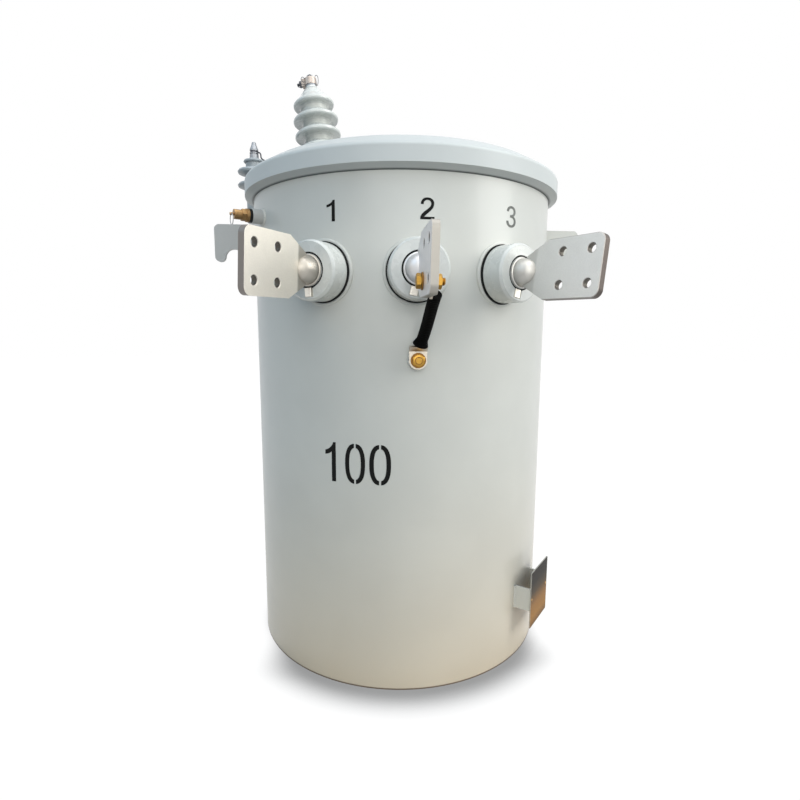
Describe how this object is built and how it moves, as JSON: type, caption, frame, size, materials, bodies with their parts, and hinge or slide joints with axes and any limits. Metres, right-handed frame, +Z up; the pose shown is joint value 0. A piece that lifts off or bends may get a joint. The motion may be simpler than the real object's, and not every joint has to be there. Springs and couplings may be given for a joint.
{
  "type": "pole mounted transformer",
  "caption": "Round-tank distribution transformer with spade terminals on the wall, a shedded bushing on its domed cover, lifting lugs and pole hanger brackets.",
  "frame": {"origin": "centre of the tank's flat underside, on the tank's axis", "axes": "+Z up along the tank's axis; -Y is the front with the middle low voltage bushing; +Y is the pole side"},
  "size_m": [0.6864, 0.7857, 1.0779],
  "materials": {
    "arrester_polymer": "grey polymer housing",
    "bolt_brass": "turned and lightly tarnished",
    "core_steel": "laminated core with wound coils",
    "cover_paint": "light grey gloss enamel",
    "fitting_paint": "light grey gloss enamel",
    "gasket_rubber": "moulded oil-proof rubber",
    "hv_glaze": "pale grey glaze",
    "lug_tin": "tinned",
    "lv_glaze": "pale grey glaze",
    "plate_steel": "polished stainless sheet",
    "sleeve_rubber": "matt black sleeve",
    "tank_paint": "light grey gloss enamel",
    "terminal_tin": "satin tinned casting",
    "zinc_steel": "zinc plated"
  },
  "bodies": {
    "root": {"arrester_base": "zinc_steel", "arrester_body": "arrester_polymer", "arrester_bracket": "fitting_paint", "arrester_terminal": "zinc_steel", "band_draw_bolt": "zinc_steel", "core_and_coils": "core_steel", "cover": "cover_paint", "cover_band": "cover_paint", "cover_gasket": "gasket_rubber", "ground_boss": "fitting_paint", "hanger_bracket_lower": "fitting_paint", "hanger_bracket_upper": "fitting_paint", "hv_boss": "cover_paint", "hv_cap": "zinc_steel", "hv_clamp_bolt": "zinc_steel", "hv_connector": "lug_tin", "hv_gasket": "gasket_rubber", "hv_insulator": "hv_glaze", "jumper_wire": "zinc_steel", "lifting_lug_left": "fitting_paint", "lifting_lug_right": "fitting_paint", "lv_gaskets": "gasket_rubber", "lv_insulator_1": "lv_glaze", "lv_insulator_2": "lv_glaze", "lv_insulator_3": "lv_glaze", "lv_key_tabs": "terminal_tin", "lv_terminal_1": "terminal_tin", "lv_terminal_2": "terminal_tin", "lv_terminal_3": "terminal_tin", "nameplate": "plate_steel", "nameplate_bracket": "fitting_paint", "prv_coupling": "fitting_paint", "prv_gasket": "gasket_rubber", "prv_pull_ring": "zinc_steel", "prv_valve": "bolt_brass", "strap_bolt_lower": "bolt_brass", "strap_bolt_upper": "bolt_brass", "strap_lug_lower": "lug_tin", "strap_lug_upper": "lug_tin", "strap_sleeve": "sleeve_rubber", "tank_bottom": "tank_paint", "tank_ground_pad": "fitting_paint", "tank_shell": "tank_paint"}
  },
  "joints": []
}
